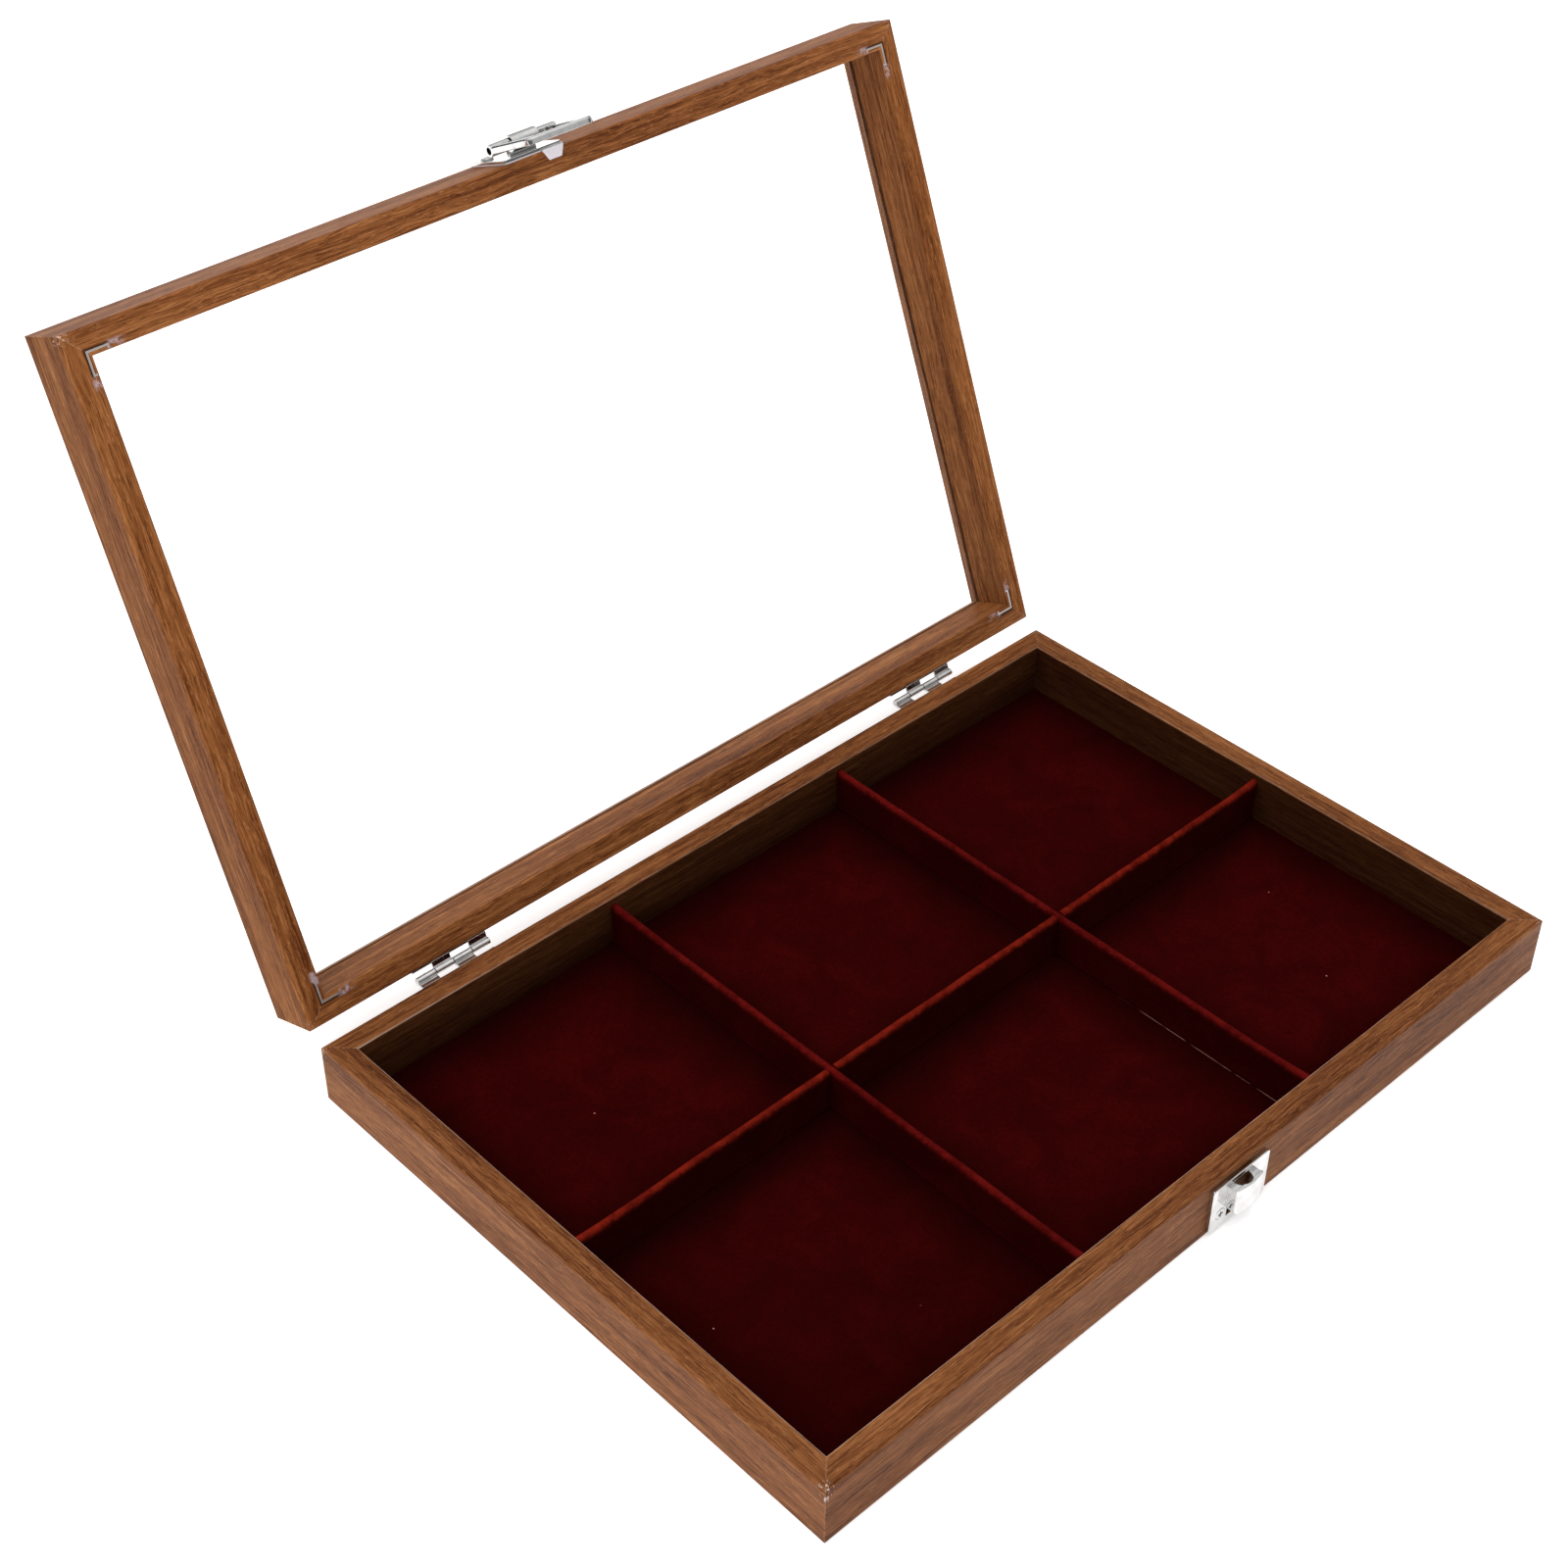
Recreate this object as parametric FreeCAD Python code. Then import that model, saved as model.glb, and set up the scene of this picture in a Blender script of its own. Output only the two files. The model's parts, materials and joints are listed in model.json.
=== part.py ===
"""Coin display tray: a shallow mitred wooden tray with six velvet compartments, and a glazed
lid on two butt hinges, held shut by a small sprung-metal bail latch at the front.

Millimetres. The origin is the middle of the underside, +Z is up, the latch is on the -Y side
and the hinges are on the +Y side. The lid is built shut and is then turned open on its hinges.
"""
import FreeCAD
import Part
import math
import os

# ---- driving dimensions -------------------------------------------------------------------
TRAY_WIDTH = 350.0
TRAY_DEPTH = 240.0
BASE_HEIGHT = 24.0
BASE_RAIL = 8.75
LID_HEIGHT = 23.2
LID_MOULDING = 7.0
LID_RAIL = 9.0
SEAM_GAP = 0.4
LID_OPEN_ANGLE = 111.4

PANEL_THICKNESS = 3.0
PANEL_REBATE = 4.0
PAD_THICKNESS = 1.0
DIVIDER_THICKNESS = 3.2
DIVIDER_TOP = 21.0
DIVIDER_JOINT_HEIGHT = 12.5
CROSS_DIVIDER_X = 55.8
LONG_DIVIDER_Y = 0.6

GLASS_SEAT = 16.4
GLASS_THICKNESS = 1.5
GLASS_CLEARANCE = 0.1
BEAD_CLEARANCE = 0.1

HINGE_X = {"left": -117.4, "right": 113.1}
HINGE_OFFSET = 3.5
KNUCKLE_RADIUS = 1.25
KNUCKLE_LENGTH = 7.5
KNUCKLE_GAP = 0.3
KNUCKLE_COUNT = 4
HINGE_PIN_RADIUS = 0.6
RUNNING_CLEARANCE = 0.05
LEAF_THICKNESS = 0.8
LEAF_HEIGHT = 15.0
HINGE_SCREW_SPREAD = 18.0
HINGE_SCREW_DROP = 8.5

LATCH_X = 7.0
SHEET = 0.8
CATCH_WIDTH = 28.0
CATCH_BOTTOM = 1.6
CATCH_TOP = 20.8
CATCH_STANDOFF = 1.6
CATCH_SLOT = 12.0
NOSE_WIDTH = 13.0
NOSE_BOTTOM = 7.5
NOSE_TOP = 19.0
NOSE_SIDE_REACH = 5.2
NOSE_REACH = 6.0
HASP_WIDTH = 24.4
HASP_BOTTOM = 0.8
HASP_TOP = 21.8
HASP_STANDOFF = 1.5
LATCH_SCREW_SPREAD = 18.0
CATCH_SCREW_HEIGHT = 8.0
HASP_SCREW_HEIGHT = 15.5
CATCH_SCREW_SEAT = 1.0
BAIL_AXIS_REACH = 5.4
BAIL_AXIS_HEIGHT = 5.2
BAIL_TILT = 5.0
BAIL_WIDTH = 28.0
BAIL_WINDOW = 18.0
BAIL_LENGTH = 25.3
BAIL_BAR = 2.4
BAIL_THICKNESS = 2.4
BAIL_EAR_RADIUS = 2.1
BAIL_PIN_RADIUS = 1.25
BAIL_SIDE_GAP = 0.4
ROLL_RADIUS = 2.9
ROLL_WIDTH = 11.2
BAIL_PIN_OVERLAP = 4.0
CATCH_PILLAR_RADIUS = 2.9
HASP_PILLAR_RADIUS = 2.6
NOSE_EDGE_RADIUS = 0.7
NOSE_CHIN_RADIUS = 2.5
SCOOP_RADIUS = 3.6
SCOOP_DEPTH = 2.0
TAB_ROOT = 8.8
TAB_TIP = 5.4
TAB_REACH = 3.4
TAB_SHEET = 0.5

# each screw: head radius, head height, shank radius, length under the head
BASE_HINGE_SCREW = (2.0, 0.9, 1.0, 7.5)
LID_HINGE_SCREW = (2.0, 0.9, 1.0, 6.5)
LATCH_SCREW = (2.3, 0.8, 1.0, 7.5)

# each set of corner pieces: distance from the outer faces, leg, thickness, turned-in end, height
BASE_VNAIL = (2.1, 5.5, 0.5, 1.2, 8.0)
LID_CLIP = (LID_MOULDING, 8.0, 0.7, 1.5, 6.0)

# ---- places worked out from them ----------------------------------------------------------
HALF_WIDTH = TRAY_WIDTH / 2
HALF_DEPTH = TRAY_DEPTH / 2
LID_UNDERSIDE = BASE_HEIGHT + SEAM_GAP
HINGE_AXIS_Y = HALF_DEPTH + HINGE_OFFSET
HINGE_AXIS_Z = BASE_HEIGHT + SEAM_GAP / 2
FLOOR_Z = PANEL_THICKNESS + PAD_THICKNESS
INNER_WIDTH = TRAY_WIDTH - 2 * BASE_RAIL
INNER_DEPTH = TRAY_DEPTH - 2 * BASE_RAIL
BAIL_AXIS_Z = LID_UNDERSIDE + BAIL_AXIS_HEIGHT
BAIL_AXIS_Y = -HALF_DEPTH - BAIL_AXIS_REACH

X_AXIS = FreeCAD.Vector(1, 0, 0)
Y_AXIS = FreeCAD.Vector(0, 1, 0)
Z_AXIS = FreeCAD.Vector(0, 0, 1)
ORIGIN = FreeCAD.Vector(0, 0, 0)

parts = {}


# ---- helpers ------------------------------------------------------------------------------
def vec(x, y, z):
    return FreeCAD.Vector(x, y, z)


def box(x0, x1, y0, y1, z0, z1):
    """A box from its low and high corner."""
    return Part.makeBox(x1 - x0, y1 - y0, z1 - z0, vec(x0, y0, z0))


def out_box(x0, x1, reach0, reach1, z0, z1):
    """A box on the front of the tray, its depth measured outwards from the front face."""
    return box(x0, x1, -HALF_DEPTH - reach1, -HALF_DEPTH - reach0, z0, z1)


def rounded_face(corners, to_space):
    """A flat face from (u, v, radius) corners; to_space turns (u, v) into a point."""
    count = len(corners)
    edges = []
    ends = []
    for index in range(count):
        u, v, radius = corners[index]
        before = corners[index - 1]
        after = corners[(index + 1) % count]
        here = vec(u, v, 0)
        back = (vec(before[0], before[1], 0) - here).normalize()
        ahead = (vec(after[0], after[1], 0) - here).normalize()
        if radius <= 0:
            ends.append((here, here))
            continue
        half_angle = back.getAngle(ahead) / 2
        run = radius / math.tan(half_angle)
        middle = (back + ahead).normalize()
        centre = here + middle * (radius / math.sin(half_angle))
        start = here + back * run
        finish = here + ahead * run
        crown = centre - middle * radius
        ends.append((start, finish))
        edges.append(Part.Arc(to_space(start), to_space(crown), to_space(finish)).toShape())
    for index in range(count):
        leave = ends[index - 1][1]
        arrive = ends[index][0]
        if leave.distanceToPoint(arrive) > 1e-6:
            edges.append(Part.LineSegment(to_space(leave), to_space(arrive)).toShape())
    wire = Part.Wire(Part.__sortEdges__(edges))
    return Part.Face(wire)


def plan_prism(corners, z0, z1):
    """A prism standing on a plan outline."""
    face = rounded_face(corners, lambda p: vec(p.x, p.y, z0))
    return face.extrude(vec(0, 0, z1 - z0))


def front_prism(corners, reach0, reach1):
    """A prism with its outline seen from the front, as (x, z)."""
    face = rounded_face(corners, lambda p: vec(p.x, -HALF_DEPTH - reach0, p.y))
    return face.extrude(vec(0, reach0 - reach1, 0))


def cylinder_x(x0, x1, y, z, radius):
    return Part.makeCylinder(radius, x1 - x0, vec(x0, y, z), X_AXIS)


def turned(shape, centre, axis, angle):
    copy = shape.copy()
    copy.rotate(centre, axis, angle)
    return copy


def open_lid(shape):
    """Turns a piece of the shut lid to where it stands when the lid is open."""
    return turned(shape, vec(0, HINGE_AXIS_Y, HINGE_AXIS_Z), X_AXIS, -LID_OPEN_ANGLE)


def group(solids):
    return Part.makeCompound(solids)


# ---- mitred frames ------------------------------------------------------------------------
def mitred_rail(length, depth, height, section):
    """A rail along X with its outer face on y = 0, its section given as (inwards, up)."""
    face = rounded_face(section, lambda p: vec(-length / 2, p.x, p.y))
    bar = face.extrude(vec(length, 0, 0))
    half = length / 2
    plan = [(-half, 0, 0), (half, 0, 0), (half - depth, depth, 0), (-half + depth, depth, 0)]
    return bar.common(plan_prism(plan, -1, height + 1))


def frame_rails(depth, height, section, z0, inset=0.0):
    """The four mitred rails of a frame, by side."""
    rails = {}
    long_side = TRAY_WIDTH - 2 * inset
    short_side = TRAY_DEPTH - 2 * inset
    placing = [
        ("front", long_side, 0, vec(0, -HALF_DEPTH + inset, z0)),
        ("right", short_side, 90, vec(HALF_WIDTH - inset, 0, z0)),
        ("back", long_side, 180, vec(0, HALF_DEPTH - inset, z0)),
        ("left", short_side, 270, vec(-HALF_WIDTH + inset, 0, z0)),
    ]
    for side, length, angle, place in placing:
        rail = mitred_rail(length, depth, height, section)
        rail.rotate(ORIGIN, Z_AXIS, angle)
        rail.translate(place)
        rails[side] = rail
    return rails


def corner_clips(sizes, z0):
    """Four steel angles, one in each mitred corner, with the leg ends turned in."""
    inset, leg, thickness, hook, height = sizes
    outline = [(0, 0, 0), (leg, 0, 0), (leg, hook, 0), (leg - thickness, hook, 0),
               (leg - thickness, thickness, 0), (thickness, thickness, 0),
               (thickness, leg - thickness, 0), (hook, leg - thickness, 0),
               (hook, leg, 0), (0, leg, 0)]
    clips = []
    places = [(-1, -1, 0), (1, -1, 90), (1, 1, 180), (-1, 1, 270)]
    for side_x, side_y, angle in places:
        clip = plan_prism(outline, 0, height)
        clip.rotate(ORIGIN, Z_AXIS, angle)
        clip.translate(vec(side_x * (HALF_WIDTH - inset), side_y * (HALF_DEPTH - inset), z0))
        clips.append(clip)
    return clips


# ---- screws -------------------------------------------------------------------------------
def cross_screw(head_radius, head_height, shank_radius, length):
    """A round-head cross-recess screw along Z, its head standing on z = 0."""
    head = Part.makeCylinder(head_radius, head_height)
    rim = [edge for edge in head.Edges if abs(edge.BoundBox.ZMin - head_height) < 1e-6]
    head = head.makeFillet(head_height * 0.7, rim)
    arm = head_radius * 0.55
    slit = head_radius * 0.14
    sunk = head_height * 0.5
    for half_x, half_y in ((arm, slit), (slit, arm)):
        head = head.cut(box(-half_x, half_x, -half_y, half_y, head_height - sunk, head_height + 1))
    tip = shank_radius * 2
    shank = Part.makeCylinder(shank_radius, length - tip, vec(0, 0, tip - length))
    point = Part.makeCone(shank_radius * 0.15, shank_radius, tip, vec(0, 0, -length))
    return head.fuse([shank, point]).removeSplitter()


def screws_in_face(places, facing, sizes):
    """Screws at the given points, heads towards facing: 1 for the back, -1 for the front."""
    screws = []
    for place in places:
        screw = cross_screw(*sizes)
        screw.rotate(ORIGIN, X_AXIS, -90 * facing)
        screw.translate(place)
        screws.append(screw)
    return screws


# ---- hinges -------------------------------------------------------------------------------
def knuckle_spans(centre_x):
    """The start and end of each knuckle along X."""
    total = KNUCKLE_COUNT * KNUCKLE_LENGTH + (KNUCKLE_COUNT - 1) * KNUCKLE_GAP
    start = centre_x - total / 2
    pitch = KNUCKLE_LENGTH + KNUCKLE_GAP
    return [(start + i * pitch, start + i * pitch + KNUCKLE_LENGTH) for i in range(KNUCKLE_COUNT)]


def base_leaf(centre_x, first_knuckle):
    """The leaf on the back of the tray: a screwed plate, webs and every second knuckle."""
    spans = knuckle_spans(centre_x)
    x0 = spans[0][0]
    x1 = spans[-1][1]
    top = HINGE_AXIS_Z - KNUCKLE_RADIUS
    corners = [(x0, top - LEAF_HEIGHT, 2.0), (x1, top - LEAF_HEIGHT, 2.0), (x1, top, 0), (x0, top, 0)]
    face = rounded_face(corners, lambda p: vec(p.x, HALF_DEPTH, p.y))
    leaf = face.extrude(vec(0, LEAF_THICKNESS, 0))
    for start, end in spans[first_knuckle::2]:
        web = box(start, end, HALF_DEPTH, HINGE_AXIS_Y, top, top + LEAF_THICKNESS)
        leaf = leaf.fuse([web, cylinder_x(start, end, HINGE_AXIS_Y, HINGE_AXIS_Z, KNUCKLE_RADIUS)])
    bore = HINGE_PIN_RADIUS + RUNNING_CLEARANCE
    leaf = leaf.cut(cylinder_x(x0 - 1, x1 + 1, HINGE_AXIS_Y, HINGE_AXIS_Z, bore))
    return leaf.removeSplitter()


def lid_leaf(centre_x):
    """The matching leaf on the lid: the tray's leaf upside down, with the other knuckles."""
    leaf = base_leaf(centre_x, 1)
    return leaf.mirror(vec(0, 0, HINGE_AXIS_Z), Z_AXIS)


def hinge_pin(centre_x):
    spans = knuckle_spans(centre_x)
    return cylinder_x(spans[0][0], spans[-1][1], HINGE_AXIS_Y, HINGE_AXIS_Z, HINGE_PIN_RADIUS)


def hinge_screw_places(direction):
    """Two screws in each leaf; direction is -1 for the tray's leaves and 1 for the lid's."""
    places = []
    for centre_x in HINGE_X.values():
        for side in (-1, 1):
            x = centre_x + side * HINGE_SCREW_SPREAD / 2
            z = HINGE_AXIS_Z + direction * HINGE_SCREW_DROP
            places.append(vec(x, HALF_DEPTH + LEAF_THICKNESS, z))
    return places


# ---- latch --------------------------------------------------------------------------------
def nose_outline():
    """The nose seen from above: flat sides and a gently bowed front."""
    half = NOSE_WIDTH / 2
    side_y = -HALF_DEPTH - NOSE_SIDE_REACH
    back_y = -HALF_DEPTH - SHEET
    front_left = vec(LATCH_X - half, side_y, NOSE_BOTTOM)
    front_middle = vec(LATCH_X, -HALF_DEPTH - NOSE_REACH, NOSE_BOTTOM)
    front_right = vec(LATCH_X + half, side_y, NOSE_BOTTOM)
    back_right = vec(LATCH_X + half, back_y, NOSE_BOTTOM)
    back_left = vec(LATCH_X - half, back_y, NOSE_BOTTOM)
    edges = [Part.Arc(front_left, front_middle, front_right).toShape()]
    for start, end in ((front_right, back_right), (back_right, back_left), (back_left, front_left)):
        edges.append(Part.LineSegment(start, end).toShape())
    return Part.Face(Part.Wire(edges))


def catch_nose():
    """The solid nose, with rounded upright edges and a rounded chin."""
    half = NOSE_WIDTH / 2
    nose = nose_outline().extrude(vec(0, 0, NOSE_TOP - NOSE_BOTTOM))
    front_half = -HALF_DEPTH - NOSE_SIDE_REACH / 2
    upright = [edge for edge in nose.Edges
               if edge.BoundBox.ZLength > SHEET and edge.BoundBox.YMax < front_half]
    nose = nose.makeFillet(NOSE_EDGE_RADIUS, upright)
    shield = [(LATCH_X - half, NOSE_BOTTOM, NOSE_CHIN_RADIUS),
              (LATCH_X + half, NOSE_BOTTOM, NOSE_CHIN_RADIUS),
              (LATCH_X + half, NOSE_TOP + 1, 0), (LATCH_X - half, NOSE_TOP + 1, 0)]
    return nose.common(front_prism(shield, 0, NOSE_REACH + 1))


def catch_plate():
    """The pressed plate on the tray, with the hollow nose that the bail hooks under."""
    x0 = LATCH_X - CATCH_WIDTH / 2
    x1 = LATCH_X + CATCH_WIDTH / 2
    outline = [(x0, CATCH_BOTTOM, 1.2), (x1, CATCH_BOTTOM, 1.2), (x1, CATCH_TOP, 0.8), (x0, CATCH_TOP, 0.8)]
    plate = front_prism(outline, 0, CATCH_STANDOFF)
    hollow = out_box(x0 + SHEET, x1 - SHEET, -1, CATCH_STANDOFF - SHEET,
                     CATCH_BOTTOM + SHEET, CATCH_TOP - SHEET)
    slot = out_box(LATCH_X - CATCH_SLOT / 2, LATCH_X + CATCH_SLOT / 2, -1, CATCH_STANDOFF - SHEET,
                   CATCH_TOP - 2 * SHEET, CATCH_TOP + 1)
    plate = plate.cut(hollow).cut(slot)
    for side in (-1, 1):
        x = LATCH_X + side * LATCH_SCREW_SPREAD / 2
        foot = vec(x, -HALF_DEPTH, CATCH_SCREW_HEIGHT)
        pillar = Part.makeCylinder(CATCH_PILLAR_RADIUS, CATCH_STANDOFF, foot, -Y_AXIS)
        seat = vec(x, -HALF_DEPTH - CATCH_SCREW_SEAT, CATCH_SCREW_HEIGHT)
        counterbore = Part.makeCylinder(LATCH_SCREW[0], CATCH_STANDOFF, seat, -Y_AXIS)
        plate = plate.fuse(pillar).cut(counterbore)
    half = NOSE_WIDTH / 2
    inner = half - SHEET
    cavity = out_box(LATCH_X - inner, LATCH_X + inner, -1, NOSE_SIDE_REACH - SHEET,
                     NOSE_BOTTOM - 1, NOSE_TOP - 2 * SHEET)
    window = out_box(LATCH_X - inner, LATCH_X + inner, -1, CATCH_STANDOFF + 0.01,
                     NOSE_BOTTOM - 3, NOSE_TOP - 2 * SHEET)
    step = out_box(LATCH_X - half, LATCH_X + half, CATCH_STANDOFF, NOSE_SIDE_REACH - SHEET,
                   NOSE_TOP - 0.5, NOSE_TOP + 1)
    scoop_base = vec(LATCH_X, -HALF_DEPTH - CATCH_STANDOFF, NOSE_TOP - SCOOP_DEPTH)
    scoop = Part.makeCylinder(SCOOP_RADIUS, SCOOP_DEPTH + 1, scoop_base, Z_AXIS)
    plate = plate.fuse(catch_nose()).cut(cavity).cut(window).cut(step)
    keep_bar = out_box(LATCH_X - 4, LATCH_X + 4, -1, CATCH_STANDOFF, NOSE_TOP + 0.2, CATCH_TOP)
    plate = plate.cut(scoop.cut(keep_bar))
    return plate.removeSplitter()


def hasp_plate():
    """The pressed plate on the lid, with the roll that carries the bail and the seam tab."""
    x0 = LATCH_X - HASP_WIDTH / 2
    x1 = LATCH_X + HASP_WIDTH / 2
    z0 = LID_UNDERSIDE + HASP_BOTTOM
    z1 = LID_UNDERSIDE + HASP_TOP
    outline = [(x0, z0, 1.0), (x1, z0, 1.0), (x1, z1, 1.0), (x0, z1, 1.0)]
    plate = front_prism(outline, 0, HASP_STANDOFF)
    plate = plate.cut(out_box(x0 + SHEET, x1 - SHEET, -1, HASP_STANDOFF - SHEET, z0 + SHEET, z1 - SHEET))
    for side in (-1, 1):
        x = LATCH_X + side * LATCH_SCREW_SPREAD / 2
        foot = vec(x, -HALF_DEPTH, LID_UNDERSIDE + HASP_SCREW_HEIGHT)
        plate = plate.fuse(Part.makeCylinder(HASP_PILLAR_RADIUS, HASP_STANDOFF, foot, -Y_AXIS))
    roll_x0 = LATCH_X - ROLL_WIDTH / 2
    roll_x1 = LATCH_X + ROLL_WIDTH / 2
    roll = cylinder_x(roll_x0, roll_x1, BAIL_AXIS_Y, BAIL_AXIS_Z, ROLL_RADIUS)
    strap = out_box(roll_x0, roll_x1, HASP_STANDOFF - SHEET, BAIL_AXIS_REACH,
                    BAIL_AXIS_Z + ROLL_RADIUS - 2 * SHEET, BAIL_AXIS_Z + ROLL_RADIUS)
    bore = cylinder_x(roll_x0 - 1, roll_x1 + 1, BAIL_AXIS_Y, BAIL_AXIS_Z,
                      BAIL_PIN_RADIUS + RUNNING_CLEARANCE)
    plate = plate.fuse([roll, strap]).cut(bore)
    return plate.fuse(seam_tab()).removeSplitter()


def seam_tab():
    """The tapered tab that wraps under the lid's front edge and places the hasp plate."""
    middle = LATCH_X + HASP_WIDTH / 2 - TAB_ROOT / 2 - 0.2
    y0 = -HALF_DEPTH
    outline = [(middle - TAB_ROOT / 2, y0, 0), (middle + TAB_ROOT / 2, y0, 0),
               (middle + TAB_TIP / 2, y0 + TAB_REACH, 0.6), (middle - TAB_TIP / 2, y0 + TAB_REACH, 0.6)]
    tab = plan_prism(outline, LID_UNDERSIDE, LID_UNDERSIDE + TAB_SHEET)
    neck = out_box(middle - TAB_ROOT / 2, middle + TAB_ROOT / 2, 0, SHEET,
                   LID_UNDERSIDE, LID_UNDERSIDE + HASP_BOTTOM + SHEET)
    return tab.fuse(neck).removeSplitter()


def bail():
    """The hooked frame that swings on the hasp plate and drops over the nose."""
    half = BAIL_WIDTH / 2
    opening = BAIL_WINDOW / 2
    bottom = BAIL_AXIS_Z - BAIL_LENGTH
    reach0 = BAIL_AXIS_REACH - BAIL_THICKNESS / 2
    reach1 = BAIL_AXIS_REACH + BAIL_THICKNESS / 2
    outline = [(LATCH_X - half, bottom, 4.0), (LATCH_X + half, bottom, 4.0),
               (LATCH_X + half, BAIL_AXIS_Z, 0), (LATCH_X - half, BAIL_AXIS_Z, 0)]
    plate = front_prism(outline, reach0, reach1)
    edge_band = [edge for edge in plate.Edges
                 if edge.BoundBox.YLength < 1e-6 and edge.BoundBox.ZMin < BAIL_AXIS_Z - 1
                 and edge.BoundBox.YMax < -HALF_DEPTH - reach1 + 1e-6]
    plate = plate.makeFillet(0.9, edge_band)
    window = [(LATCH_X - opening, bottom + BAIL_BAR, 2.5), (LATCH_X + opening, bottom + BAIL_BAR, 2.5),
              (LATCH_X + opening, BAIL_AXIS_Z - BAIL_EAR_RADIUS, 1.5),
              (LATCH_X - opening, BAIL_AXIS_Z - BAIL_EAR_RADIUS, 1.5)]
    plate = plate.cut(front_prism(window, reach0 - 1, reach1 + 1))
    ears = [cylinder_x(LATCH_X - half, LATCH_X + half, BAIL_AXIS_Y, BAIL_AXIS_Z, BAIL_EAR_RADIUS)]
    frame = plate.fuse(ears)
    clear = ROLL_WIDTH / 2 + BAIL_SIDE_GAP
    room = out_box(LATCH_X - clear, LATCH_X + clear, -5, 20,
                   BAIL_AXIS_Z - ROLL_RADIUS - 2 * BAIL_SIDE_GAP, BAIL_AXIS_Z + 10)
    hole = cylinder_x(LATCH_X - half - 1, LATCH_X + half + 1, BAIL_AXIS_Y, BAIL_AXIS_Z, BAIL_PIN_RADIUS)
    frame = frame.cut(room).cut(hole).removeSplitter()
    return tilt_bail(frame)


def bail_pin():
    reach = ROLL_WIDTH / 2 + BAIL_SIDE_GAP + BAIL_PIN_OVERLAP
    return tilt_bail(cylinder_x(LATCH_X - reach, LATCH_X + reach, BAIL_AXIS_Y, BAIL_AXIS_Z, BAIL_PIN_RADIUS))


def tilt_bail(shape):
    """Swings the bail out far enough to pass in front of the nose."""
    return turned(shape, vec(0, BAIL_AXIS_Y, BAIL_AXIS_Z), X_AXIS, -BAIL_TILT)


def latch_screw_places(z, standoff):
    return [vec(LATCH_X + side * LATCH_SCREW_SPREAD / 2, -HALF_DEPTH - standoff, z) for side in (-1, 1)]


# ---- the tray -----------------------------------------------------------------------------
def build_tray():
    section = [(0, 0, 0.4), (BASE_RAIL - PANEL_REBATE, 0, 0), (BASE_RAIL - PANEL_REBATE, PANEL_THICKNESS, 0),
               (BASE_RAIL, PANEL_THICKNESS, 0), (BASE_RAIL, BASE_HEIGHT, 0.6), (0, BASE_HEIGHT, 0.8)]
    rails = frame_rails(BASE_RAIL, BASE_HEIGHT, section, 0)
    nails = corner_clips(BASE_VNAIL, 0)
    hinge_screws = screws_in_face(hinge_screw_places(-1), 1, BASE_HINGE_SCREW)
    catch_screws = screws_in_face(latch_screw_places(CATCH_SCREW_HEIGHT, CATCH_SCREW_SEAT),
                                  -1, LATCH_SCREW)
    for side, rail in rails.items():
        rail = rail.cut(nails)
        if side == "back":
            rail = rail.cut(hinge_screws)
        if side == "front":
            rail = rail.cut(catch_screws)
        parts["base_rail_" + side] = rail
    parts["base_corner_vnails"] = group(nails)
    parts["base_hinge_screws"] = group(hinge_screws)
    parts["latch_catch_screws"] = group(catch_screws)
    for side, x in HINGE_X.items():
        parts["hinge_" + side + "_base_leaf"] = base_leaf(x, 0).cut(hinge_screws)
        parts["hinge_" + side + "_pin"] = hinge_pin(x)
    parts["latch_catch_plate"] = catch_plate().cut(parts["latch_catch_screws"])


def build_lining():
    """The bottom board, the velvet floor and the three velvet dividers."""
    rebate = BASE_RAIL - PANEL_REBATE
    parts["bottom_panel"] = box(-HALF_WIDTH + rebate, HALF_WIDTH - rebate,
                                -HALF_DEPTH + rebate, HALF_DEPTH - rebate, 0, PANEL_THICKNESS)
    half_x = INNER_WIDTH / 2
    half_y = INNER_DEPTH / 2
    parts["floor_pad"] = box(-half_x, half_x, -half_y, half_y, PANEL_THICKNESS, FLOOR_Z)
    half = DIVIDER_THICKNESS / 2
    crown = half * 0.9
    section = [(-half, FLOOR_Z, 0), (half, FLOOR_Z, 0),
               (half, DIVIDER_TOP, crown), (-half, DIVIDER_TOP, crown)]
    face = rounded_face(section, lambda p: vec(-half_x, LONG_DIVIDER_Y + p.x, p.y))
    long_divider = face.extrude(vec(2 * half_x, 0, 0))
    face = rounded_face(section, lambda p: vec(p.x, -half_y, p.y))
    cross = face.extrude(vec(0, 2 * half_y, 0))
    cross = cross.cut(box(-half, half, LONG_DIVIDER_Y - half, LONG_DIVIDER_Y + half,
                          FLOOR_Z, DIVIDER_JOINT_HEIGHT))
    for name, x in (("left", -CROSS_DIVIDER_X), ("right", CROSS_DIVIDER_X)):
        slot = box(x - half, x + half, LONG_DIVIDER_Y - half, LONG_DIVIDER_Y + half,
                   DIVIDER_JOINT_HEIGHT, BASE_HEIGHT)
        long_divider = long_divider.cut(slot)
        placed = cross.copy()
        placed.translate(vec(x, 0, 0))
        parts["cross_divider_" + name] = placed
    parts["long_divider"] = long_divider


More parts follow.
